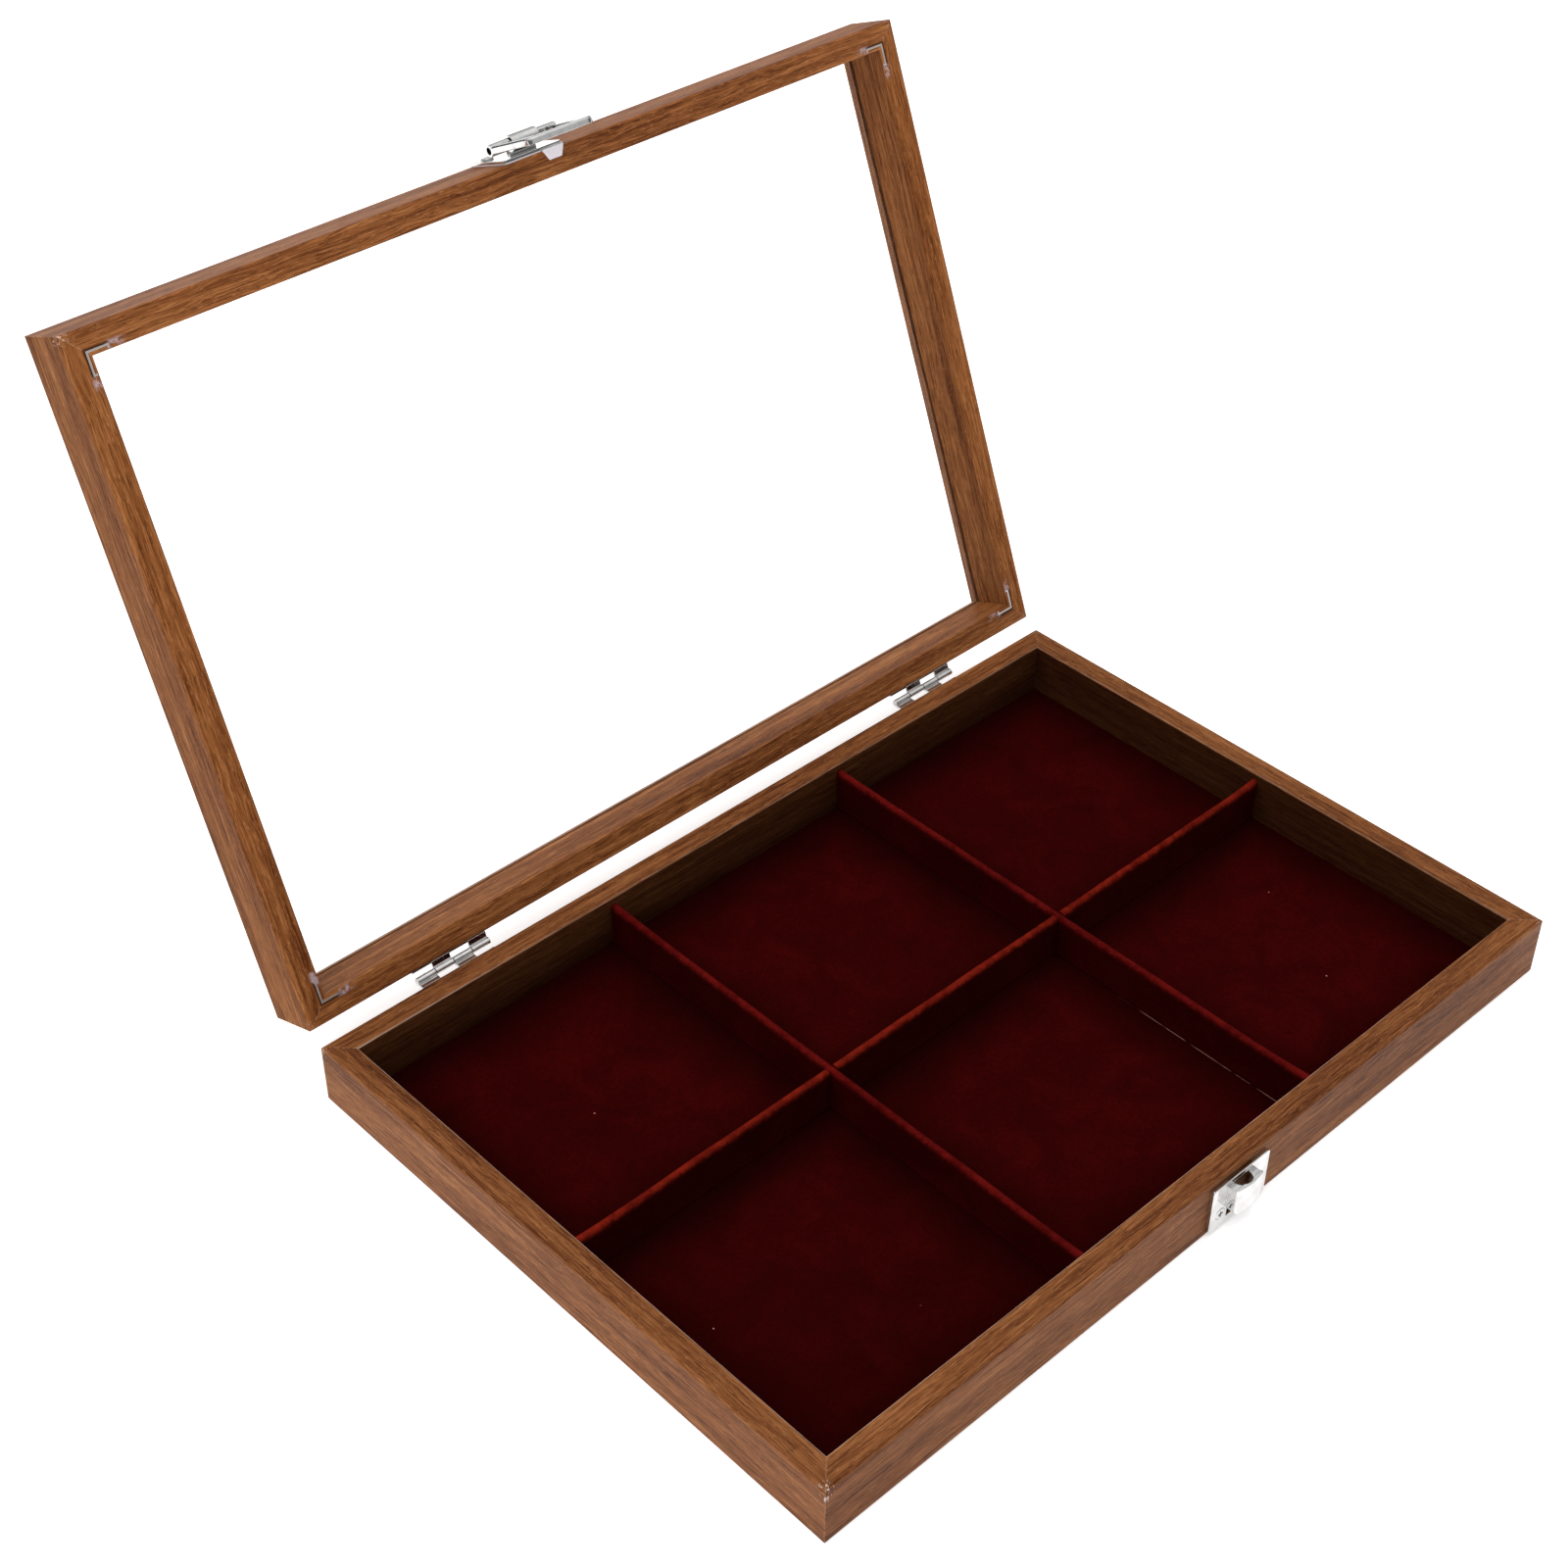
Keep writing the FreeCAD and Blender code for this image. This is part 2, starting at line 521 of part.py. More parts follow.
# ---- the lid ------------------------------------------------------------------------------
def build_lid():
    seat = GLASS_SEAT + GLASS_THICKNESS
    section = [(0, 0, 0.8), (LID_MOULDING, 0, 0), (LID_MOULDING, seat, 0), (LID_RAIL, seat, 0),
               (LID_MOULDING + 0.2, LID_HEIGHT, 0.4), (0, LID_HEIGHT, 1.0)]
    rails = frame_rails(LID_RAIL, LID_HEIGHT, section, LID_UNDERSIDE)
    bead = LID_RAIL - LID_MOULDING
    bead_height = GLASS_SEAT - BEAD_CLEARANCE
    bead_section = [(0, 0, 0), (bead, 0, 0.5), (bead, bead_height, 0), (0, bead_height, 0)]
    beads = frame_rails(bead, bead_height, bead_section, LID_UNDERSIDE, LID_MOULDING)
    clips = corner_clips(LID_CLIP, LID_UNDERSIDE)
    hinge_screws = screws_in_face(hinge_screw_places(1), 1, LID_HINGE_SCREW)
    hasp_screws = screws_in_face(latch_screw_places(LID_UNDERSIDE + HASP_SCREW_HEIGHT, HASP_STANDOFF),
                                 -1, LATCH_SCREW)
    hasp = hasp_plate()
    for side, rail in rails.items():
        if side == "back":
            rail = rail.cut(hinge_screws)
        if side == "front":
            rail = rail.cut(hasp_screws).cut(seam_tab())
        parts["lid_rail_" + side] = open_lid(rail)
        parts["lid_bead_" + side] = open_lid(beads[side].cut(clips))
    parts["lid_corner_clips"] = open_lid(group(clips))
    parts["lid_hinge_screws"] = open_lid(group(hinge_screws))
    parts["latch_hasp_screws"] = open_lid(group(hasp_screws))
    parts["latch_hasp_plate"] = open_lid(hasp.cut(group(hasp_screws)))
    for side, x in HINGE_X.items():
        parts["hinge_" + side + "_lid_leaf"] = open_lid(lid_leaf(x).cut(hinge_screws))
    margin = LID_MOULDING + GLASS_CLEARANCE
    glass = box(-HALF_WIDTH + margin, HALF_WIDTH - margin, -HALF_DEPTH + margin, HALF_DEPTH - margin,
                LID_UNDERSIDE + GLASS_SEAT, LID_UNDERSIDE + seat)
    parts["lid_glass"] = open_lid(glass)
    parts["latch_bail"] = open_lid(bail())
    parts["latch_bail_pin"] = open_lid(bail_pin())


build_tray()
build_lining()
build_lid()

os.makedirs("parts", exist_ok=True)
for name, shape in sorted(parts.items()):
    solids = shape.Solids
    kept = solids[0] if len(solids) == 1 else Part.makeCompound(solids)
    kept.exportStep(os.path.join("parts", name + ".step"))
    print(name, len(solids), "solid(s),", round(kept.Volume, 1), "mm3, valid", kept.isValid())
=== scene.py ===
"""Looks of the coin display tray: procedural finishes, velvet lining, light and camera."""
import json
import math
import bmesh
import bpy
from mathutils import Matrix, Vector, noise


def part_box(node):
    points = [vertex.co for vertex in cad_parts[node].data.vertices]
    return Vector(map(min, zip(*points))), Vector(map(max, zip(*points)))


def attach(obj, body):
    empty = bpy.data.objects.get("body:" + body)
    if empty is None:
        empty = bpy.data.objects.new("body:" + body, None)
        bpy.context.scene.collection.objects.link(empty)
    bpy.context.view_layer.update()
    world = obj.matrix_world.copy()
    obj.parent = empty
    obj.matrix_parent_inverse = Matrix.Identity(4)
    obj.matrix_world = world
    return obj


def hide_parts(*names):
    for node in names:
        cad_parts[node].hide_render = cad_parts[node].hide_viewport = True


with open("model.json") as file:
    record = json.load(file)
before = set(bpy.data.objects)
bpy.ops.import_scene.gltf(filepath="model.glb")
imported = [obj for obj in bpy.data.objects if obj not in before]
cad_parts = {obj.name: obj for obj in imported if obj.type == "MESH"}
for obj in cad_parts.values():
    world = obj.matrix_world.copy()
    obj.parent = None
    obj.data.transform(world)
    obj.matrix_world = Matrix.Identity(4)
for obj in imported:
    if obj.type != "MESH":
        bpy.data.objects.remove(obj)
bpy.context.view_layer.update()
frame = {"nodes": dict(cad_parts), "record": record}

MM = 0.001
nodes = frame["nodes"]

tray_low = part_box("base_rail_front")[0].copy()
tray_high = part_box("base_rail_back")[1].copy()
half_width = (tray_high.x - tray_low.x) / 2
half_depth = (tray_high.y - tray_low.y) / 2
base_top = tray_high.z
inner_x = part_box("base_rail_right")[0].x
inner_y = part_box("base_rail_back")[0].y
rail_thickness = half_width - inner_x
seam_gap = 0.4 * MM

# the lid is shown open: these turn its coordinates back to the closed lid's
lid_joint = next(joint for joint in frame["record"]["behaviour"]["joints"]
                 if joint["name"] == "lid_hinge")
hinge_line = Vector(lid_joint["pos_m"])
open_angle = math.radians(111.4)


# ---- small helpers for shader nodes ---------------------------------------------------------
class Net:
    """One material, with short calls that add and join its nodes."""

    def __init__(self, name):
        self.material = bpy.data.materials.new(name)
        self.material.use_nodes = True
        self.tree = self.material.node_tree
        self.shader = self.tree.nodes["Principled BSDF"]
        self.place = self.add("ShaderNodeTexCoord").outputs["Object"]

    def add(self, kind, **settings):
        node = self.tree.nodes.new(kind)
        for key, value in settings.items():
            setattr(node, key, value)
        return node

    def put(self, socket, value):
        if isinstance(value, bpy.types.NodeSocket):
            self.tree.links.new(value, socket)
        else:
            socket.default_value = value

    def maths(self, operation, first, second=0.0):
        node = self.add("ShaderNodeMath", operation=operation)
        self.put(node.inputs[0], first)
        self.put(node.inputs[1], second)
        return node.outputs[0]

    def plus(self, first, second):
        return self.maths("ADD", first, second)

    def minus(self, first, second):
        return self.maths("SUBTRACT", first, second)

    def product(self, first, *others):
        for other in others:
            first = self.maths("MULTIPLY", first, other)
        return first

    def scaled(self, vector, factors):
        node = self.add("ShaderNodeVectorMath", operation="MULTIPLY")
        self.put(node.inputs[0], vector)
        node.inputs[1].default_value = factors
        return node.outputs[0]

    def moved(self, vector, offset):
        node = self.add("ShaderNodeVectorMath", operation="ADD")
        self.put(node.inputs[0], vector)
        node.inputs[1].default_value = offset
        return node.outputs[0]

    def noise(self, vector, scale=1.0, detail=3.0, roughness=0.5, distortion=0.0):
        node = self.add("ShaderNodeTexNoise")
        self.put(node.inputs["Vector"], vector)
        node.inputs["Scale"].default_value = scale
        node.inputs["Detail"].default_value = detail
        node.inputs["Roughness"].default_value = roughness
        node.inputs["Distortion"].default_value = distortion
        return node.outputs["Fac"]

    def between(self, value, low, high, to_low=0.0, to_high=1.0, smooth=False):
        node = self.add("ShaderNodeMapRange")
        node.interpolation_type = "SMOOTHSTEP" if smooth else "LINEAR"
        self.put(node.inputs["Value"], value)
        for key, number in (("From Min", low), ("From Max", high),
                            ("To Min", to_low), ("To Max", to_high)):
            node.inputs[key].default_value = number
        return node.outputs["Result"]

    def near(self, value, centre, inner, outer, smooth=False):
        """1 within one distance of a place, fading to 0 at a larger distance."""
        gap = self.maths("ABSOLUTE", self.minus(value, centre))
        return self.between(gap, inner, outer, 1.0, 0.0, smooth)

    def ramp(self, value, *stops):
        node = self.add("ShaderNodeValToRGB")
        self.put(node.inputs["Fac"], value)
        band = node.color_ramp.elements
        while len(band) < len(stops):
            band.new(0.5)
        for element, (position, colour) in zip(band, stops):
            element.position = position
            element.color = (*colour, 1.0)
        return node.outputs["Color"]

    def mix(self, amount, first, second, blend="MIX"):
        node = self.add("ShaderNodeMix", data_type="RGBA", blend_type=blend)
        self.put(node.inputs["Factor"], amount)
        for socket, value in ((node.inputs[6], first), (node.inputs[7], second)):
            if isinstance(value, bpy.types.NodeSocket):
                self.put(socket, value)
            else:
                socket.default_value = (*value, 1.0)
        return node.outputs[2]

    def axes(self, vector):
        node = self.add("ShaderNodeSeparateXYZ")
        self.put(node.inputs[0], vector)
        return node.outputs[0], node.outputs[1], node.outputs[2]

    def closed_lid(self):
        """The object's place once the lid is turned back down onto the tray."""
        turn = Matrix.Rotation(open_angle, 3, "X")
        back = self.add("ShaderNodeMapping", vector_type="POINT")
        self.put(back.inputs["Vector"], self.place)
        back.inputs["Rotation"].default_value = (open_angle, 0.0, 0.0)
        back.inputs["Location"].default_value = hinge_line - turn @ hinge_line
        return back.outputs["Vector"]

    def bumps(self, height, distance, strength=1.0, under=None):
        node = self.add("ShaderNodeBump")
        node.inputs["Strength"].default_value = strength
        node.inputs["Distance"].default_value = distance
        self.put(node.inputs["Height"], height)
        if under is not None:
            self.put(node.inputs["Normal"], under)
        return node.outputs["Normal"]

    def finish(self, **sockets):
        for key, value in sockets.items():
            socket = self.shader.inputs[key.replace("_", " ")]
            if isinstance(value, tuple) and len(value) == 3:
                value = (*value, 1.0)
            self.put(socket, value)
        return self.material


# ---- finishes -------------------------------------------------------------------------------
def wood_grain(net, place, along):
    """Walnut figure running along one axis: its colour, its fibres and its dark pores."""
    # the grain lines wander a little, so the cross-grain places are pushed by a slow noise
    slow = net.add("ShaderNodeTexNoise")
    slow_factors = [9 if axis == along else 30 for axis in range(3)]
    net.put(slow.inputs["Vector"], net.scaled(place, slow_factors))
    slow.inputs["Detail"].default_value = 1.0
    sway = net.add("ShaderNodeVectorMath", operation="MULTIPLY_ADD")
    net.put(sway.inputs[0], slow.outputs["Color"])
    sway.inputs[1].default_value = [0.0 if axis == along else 2.4 * MM for axis in range(3)]
    net.put(sway.inputs[2], place)
    wandering = sway.outputs[0]

    def grain(lengthwise, crosswise, shift):
        factors = [lengthwise if axis == along else crosswise for axis in range(3)]
        return net.moved(net.scaled(wandering, factors), (shift, 2 * shift, 3 * shift))

    broad = net.noise(grain(5, 110, 1.0), detail=2.0)
    bands = net.noise(grain(12, 620, 2.0), detail=3.0, roughness=0.62)
    fibres = net.noise(grain(70, 2700, 3.0), detail=3.0, roughness=0.65)
    pores = net.between(net.noise(grain(200, 3100, 5.0), detail=1.0), 0.60, 0.68)
    flecks = net.between(net.noise(grain(380, 3300, 7.0), detail=1.0), 0.64, 0.72)
    tone = net.plus(net.product(broad, 0.20), net.product(bands, 0.34))
    tone = net.plus(tone, net.product(fibres, 0.46))
    colour = net.ramp(tone,
                      (0.39, (0.070, 0.019, 0.005)),
                      (0.47, (0.155, 0.051, 0.015)),
                      (0.53, (0.226, 0.082, 0.025)),
                      (0.62, (0.345, 0.142, 0.050)))
    colour = net.mix(net.product(pores, 0.55), colour, (0.050, 0.014, 0.005))
    colour = net.mix(net.product(flecks, 0.36), colour, (0.50, 0.22, 0.09))
    return colour, fibres, pores


def corner_wear(net, place, colour, nearer, farther, seam_level, strength):
    """Chips along the mitres, and pale strokes where the film folds round the outer corners.
    The strokes are strongest at the front-left corner."""
    x, y, z = net.axes(place)
    chips = net.product(net.between(net.minus(farther, nearer), 0.05 * MM, 0.32 * MM, 1.0, 0.0),
                        net.between(net.noise(place, 900.0, 2.0), 0.42, 0.60),
                        net.between(farther, 8.6 * MM, 9.0 * MM, 1.0, 0.0))
    colour = net.mix(net.product(chips, 0.50), colour, (0.46, 0.30, 0.20))
    strokes = net.noise(net.scaled(place, (1400, 1400, 420)), detail=1.0)
    strokes = net.product(net.between(strokes, 0.58, 0.63),
                          net.between(farther, 1.0 * MM, 4.0 * MM, 1.0, 0.0),
                          net.near(z, seam_level, 3.0 * MM, 6.0 * MM),
                          net.between(net.plus(x, y), -0.25, -0.29, 0.35, 1.0))
    return net.mix(net.product(strokes, strength), colour, (0.74, 0.65, 0.60))


def lid_glue_and_painted_light(net, place, colour, nearer, farther, seam_level):
    """Painted light makes the lid's underside paler than the walls inside it; a painted shadow runs
    as a thin dark line beside each corner clip, and dried glue shows at the ends of the clip's
    legs."""
    height = net.axes(place)[2]
    underside = net.between(height, seam_level + 0.3 * MM, seam_level + 0.6 * MM, 1.0, 0.0)
    # painted light: the underside is made paler, standing in for how the light falls on it
    colour = net.mix(underside, colour, (1.28, 1.26, 1.22), blend="MULTIPLY")
    # painted shadow: a thin dark line beside each corner clip, on the underside
    joint = net.product(net.near(nearer, 6.75 * MM, 0.3 * MM, 0.6 * MM),
                        net.between(farther, 15.2 * MM, 15.7 * MM, 0.90, 0.0))
    colour = net.mix(net.product(joint, underside), colour, (0.040, 0.012, 0.005))
    glue = net.product(net.near(farther, 17.0 * MM, 0.8 * MM, 4.2 * MM, smooth=True),
                       net.near(nearer, 7.4 * MM, 0.6 * MM, 1.9 * MM, smooth=True),
                       net.between(net.noise(place, 430.0, 3.0, 0.6), 0.44, 0.58),
                       underside)
    return net.mix(net.product(glue, 0.70), colour, (0.52, 0.42, 0.46))


def tray_painted_light(net, place, colour, nearer, along):
    """Painted highlight along the tray's inner top edge, and painted shade on the top faces, the
    front and back rails and the walls inside.
    """
    x, y, z = net.axes(place)
    inwards = net.minus(nearer, rail_thickness)
    # painted highlight: a pale line along the inner top edge, strongest towards the front-left
    edge = net.product(net.near(inwards, 0.0, 0.2 * MM, 0.5 * MM),
                       net.between(z, base_top - 0.6 * MM, base_top - 0.3 * MM),
                       net.between(net.noise(place, 90.0, 2.0), 0.40, 0.60, 0.45, 0.85),
                       net.between(net.plus(x, y), -0.06, 0.04, 1.0, 0.25))
    colour = net.mix(edge, colour, (0.56, 0.42, 0.33))
    # painted shade: the top faces are darkened, less so on the front and back rails
    top_shade_strength = 0.4 if along == 0 else 1.0
    painted_top_shade = net.between(z, base_top - 0.3 * MM, base_top - 0.1 * MM, 0.0, top_shade_strength)
    colour = net.mix(painted_top_shade, colour, (0.78, 0.76, 0.76), blend="MULTIPLY")
    # painted shade: the front and back rails are darker all over
    if along == 0:
        colour = net.mix(1.0, colour, (0.86, 0.84, 0.84), blend="MULTIPLY")
    # painted shade: the walls inside the tray are dark
    upper_shade = 0.52 if along == 0 else 0.84
    shade = net.product(net.between(inwards, -0.35 * MM, -0.1 * MM),
                        net.between(z, base_top - 1.0 * MM, base_top - 0.5 * MM, 1.0, 0.0),
                        net.between(z, 4 * MM, base_top - 1.0 * MM, 0.84, upper_shade))
    return net.mix(shade, colour, (0.014, 0.002, 0.001))


def walnut(name, along, lid=False):
    """Satin walnut-grain film, its grain running along one axis of the closed case."""
    net = Net(name)
    place = net.closed_lid() if lid else net.place
    colour, fibres, pores = wood_grain(net, place, along)
    x, y = net.axes(place)[:2]
    from_side = net.minus(half_width, net.maths("ABSOLUTE", x))
    from_end = net.minus(half_depth, net.maths("ABSOLUTE", y))
    nearer = net.maths("MINIMUM", from_side, from_end)
    farther = net.maths("MAXIMUM", from_side, from_end)
    if lid:
        seam_level = base_top + seam_gap
        colour = corner_wear(net, place, colour, nearer, farther, seam_level, 0.40)
        colour = lid_glue_and_painted_light(net, place, colour, nearer, farther, seam_level)
    else:
        colour = corner_wear(net, place, colour, nearer, farther, base_top, 0.95)
        colour = tray_painted_light(net, place, colour, nearer, along)
    gloss = net.between(fibres, 0.3, 0.7, 0.55, 0.42)
    embossed = net.bumps(fibres, 0.06 * MM, 0.6)
    embossed = net.bumps(pores, -0.05 * MM, 0.6, embossed)
    return net.finish(Base_Color=colour, Roughness=gloss, Normal=embossed,
                      Specular_IOR_Level=0.02 if lid and along == 1 else 0.06)


def velvet(name, ridge=None, walls=None):
    """Deep burgundy pile, brushed unevenly, with some lint. A painted highlight makes it brighter
    red along a ridge, given by its level, depth and highlight colour; painted shade makes it darker
    beside a wall and towards the front-left corner; walls gives their places in x and y."""
    net = Net(name)
    x, y, z = net.axes(net.place)
    brushed = net.noise(net.place, 45.0, 4.0, 0.6, 0.8)
    clumps = net.noise(net.place, 700.0, 3.0, 0.65)
    fibres = net.noise(net.place, 5200.0, 2.0, 0.7)
    tone = net.plus(net.product(brushed, 0.45), net.product(clumps, 0.35))
    tone = net.plus(tone, net.product(fibres, 0.20))
    colour = net.ramp(tone,
                      (0.32, (0.0145, 0.0002, 0.0003)),
                      (0.50, (0.0245, 0.0004, 0.0004)),
                      (0.68, (0.0390, 0.0009, 0.0008)))
    if ridge is not None:
        level, reach, ridge_highlight_red = ridge
        # painted highlight: the crest of the ridge is brighter red, as if lit
        crest_wobble = net.between(net.noise(net.place, 420.0, 3.0, 0.6), 0.38, 0.62, -0.5 * MM, 0.5 * MM)
        crest = net.between(net.plus(z, crest_wobble), level - reach, level - 0.1 * MM)
        uneven = net.between(net.noise(net.place, 120.0, 2.0), 0.35, 0.62, 0.55, 1.0)
        crest = net.product(crest, crest, uneven)
        bright = net.ramp(tone, (0.34, tuple(0.45 * c for c in ridge_highlight_red)), (0.64, ridge_highlight_red))
        colour = net.mix(crest, colour, bright)
    if walls is not None:
        walls_x, walls_y = walls
        nearest = 1.0
        for axis, places in ((x, walls_x), (y, walls_y)):
            for wall in places:
                gap = net.maths("ABSOLUTE", net.minus(axis, wall))
                nearest = net.maths("MINIMUM", gap, nearest)
        # painted shade: darker close to each wall and divider
        pressed = net.between(nearest, 1.5 * MM, 28 * MM, 0.70, 0.0, smooth=True)
        colour = net.mix(pressed, colour, (0.007, 0.0002, 0.0002))
        # painted shade: darker towards the front-left corner
        painted_corner_shade = net.between(net.plus(x, y), -0.26, -0.04, 0.38, 0.0, smooth=True)
        colour = net.mix(painted_corner_shade, colour, (0.010, 0.0002, 0.0002))
        # a thin pale line of dried glue shows beside the right cross divider, on its front half
        glue = net.product(net.near(x, walls_x[1] - 2.0 * MM, 0.10 * MM, 0.22 * MM),
                           net.between(y, -0.045, -0.030, 1.0, 0.0),
                           net.between(net.noise(net.place, 160.0, 2.0), 0.36, 0.52))
        colour = net.mix(net.product(glue, 0.7), colour, (0.26, 0.11, 0.09))
    lint = net.add("ShaderNodeTexVoronoi", feature="F1", distance="EUCLIDEAN")
    net.put(lint.inputs["Vector"], net.place)
    lint.inputs["Scale"].default_value = 95.0
    speck = net.product(net.between(lint.outputs["Distance"], 0.022, 0.034, 1.0, 0.0),
                        net.between(net.axes(lint.outputs["Color"])[0], 0.90, 0.91))
    colour = net.mix(net.product(speck, 0.7), colour, (0.42, 0.20, 0.17))
    pile = net.bumps(clumps, 0.25 * MM, 0.5)
    pile = net.bumps(fibres, 0.10 * MM, 0.8, pile)
    return net.finish(Base_Color=colour, Roughness=0.95, Normal=pile, Specular_IOR_Level=0.02,
                      Sheen_Weight=0.05, Sheen_Roughness=0.35, Sheen_Tint=(0.80, 0.03, 0.02))


def plated(name, base, rough_low, rough_high, rounding, seam_tab=False):
    """Plated metal with faint polishing marks and small handling scratches. Painted shade darkens
    it in its crevices; the tab turned over the lid's seam is a duller, lilac grey."""
    net = Net(name)
    cloudy = net.noise(net.place, 260.0, 3.0)
    hairlines = net.noise(net.scaled(net.place, (5200, 380, 700)), detail=2.0)
    scratches = net.noise(net.scaled(net.place, (900, 4200, 3600)), detail=1.0)
    scratches = net.between(scratches, 0.66, 0.72)
    colour = net.mix(net.between(cloudy, 0.35, 0.70), base, tuple(c * 0.80 for c in base))
    gloss = net.between(cloudy, 0.3, 0.7, rough_low, rough_high)
    gloss = net.plus(gloss, net.product(scratches, 0.12))
    if seam_tab:
        closed_y = net.axes(net.closed_lid())[1]
        tab = net.between(closed_y, -half_depth - 0.6 * MM, -half_depth - 0.4 * MM)
        colour = net.mix(tab, colour, (0.95, 0.91, 0.95))
        gloss = net.plus(gloss, net.product(tab, 0.55))
    # painted shade: the colour goes dark in crevices, found by ambient occlusion
    crevice_shade = net.add("ShaderNodeAmbientOcclusion", samples=8)
    crevice_shade.inputs["Distance"].default_value = 1.8 * MM
    unshaded = net.between(crevice_shade.outputs["AO"], 0.15, 0.60)
    colour = net.mix(unshaded, tuple(c * 0.15 for c in base), colour)
    edge = net.add("ShaderNodeBevel", samples=6)
    edge.inputs["Radius"].default_value = rounding
    surface = net.bumps(hairlines, 0.006 * MM, 0.5, edge.outputs["Normal"])
    surface = net.bumps(cloudy, 0.05 * MM, 0.12, surface)
    return net.finish(Base_Color=colour, Metallic=1.0, Roughness=gloss, Normal=surface)


def fibreboard(name):
    """Plain pressed board, with short fibres and a slightly uneven tone."""
    net = Net(name)
    cloudy = net.noise(net.place, 30.0, 4.0)
    fibres = net.noise(net.scaled(net.place, (900, 2600, 1500)), detail=3.0, roughness=0.7)
    tone = net.plus(net.product(cloudy, 0.5), net.product(fibres, 0.5))
    colour = net.ramp(tone, (0.35, (0.170, 0.100, 0.055)), (0.65, (0.330, 0.215, 0.130)))
    return net.finish(Base_Color=colour, Roughness=0.85, Normal=net.bumps(fibres, 0.08 * MM, 0.6))


def clear_glass(name):
    """Thin clear glass that hardly shows, with faint dust and wiping streaks."""
    net = Net(name)
    dust = net.between(net.noise(net.place, 1500.0, 2.0), 0.66, 0.74)
    streaks = net.noise(net.scaled(net.place, (14, 60, 60)), detail=3.0, distortion=0.7)
    streaks = net.between(streaks, 0.50, 0.80)
    veil = net.plus(net.product(dust, 0.012), net.product(streaks, 0.010))
    cover = net.plus(veil, 0.016)
    net.material.surface_render_method = "BLENDED"
    return net.finish(Base_Color=(0.93, 0.96, 0.95), Roughness=0.04, Alpha=cover, IOR=1.5)


nickel_colour = (0.72, 0.715, 0.71)
finishes = {
    "base_x": walnut("walnut_film_base_x", 0),
    "base_y": walnut("walnut_film_base_y", 1),
    "lid_x": walnut("walnut_film_lid_x", 0, lid=True),
    "lid_y": walnut("walnut_film_lid_y", 1, lid=True),
    "board": fibreboard("pressed_board"),
    "glass": clear_glass("clear_glass"),
    "nickel": plated("bright_nickel", nickel_colour, 0.06, 0.13, 0.30 * MM),
    "hasp": plated("bright_nickel_hasp", nickel_colour, 0.06, 0.13, 0.30 * MM, seam_tab=True),
    "steel": plated("zinc_steel", (0.66, 0.655, 0.65), 0.16, 0.28, 0.15 * MM),
    "clip": plated("zinc_steel_clip", (0.62, 0.57, 0.54), 0.45, 0.55, 0.10 * MM),
}

# two nodes have a finish of their own; the others take their slot's
own_finish = {"latch_hasp_plate": "hasp", "lid_corner_clips": "clip"}
slot_of = {part["node"]: part["material_slot"] for part in frame["record"]["subparts"]}
for node_name, node in nodes.items():
    finish = slot_of.get(node_name, "walnut")
    if finish == "velvet":
        continue
    if finish == "walnut":
        grain_axis = "x" if node_name.endswith(("front", "back")) else "y"
        finish = ("lid_" if node_name.startswith("lid") else "base_") + grain_axis
    finish = own_finish.get(node_name, finish)
    node.data.materials.clear()
    node.data.materials.append(finishes[finish])


# ---- velvet lining --------------------------------------------------------------------------
def linked(name, data):
    """A new object in the scene."""
    item = bpy.data.objects.new(name, data)
    bpy.context.scene.collection.objects.link(item)
    return item


def mesh_piece(name, form, material, node_name):
    """A velvet piece from a bmesh, riding on the tray in place of one CAD node."""
    mesh = bpy.data.meshes.new(name)
    bmesh.ops.recalc_face_normals(form, faces=form.faces)
    form.to_mesh(mesh)
    form.free()
    mesh.materials.append(material)
    for face in mesh.polygons:
        face.use_smooth = True
    piece = linked(name, mesh)
    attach(piece, "tray")
    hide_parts(node_name)
    return piece


def skin(form, rings):
    """A closed skin over a row of rings of points."""
    loops = [[form.verts.new(point) for point in ring] for ring in rings]
    for first, second in zip(loops, loops[1:]):
        for i in range(len(first)):
            j = (i + 1) % len(first)
            form.faces.new((first[i], first[j], second[j], second[i]))
    form.faces.new(loops[0])
    form.faces.new(list(reversed(loops[-1])))


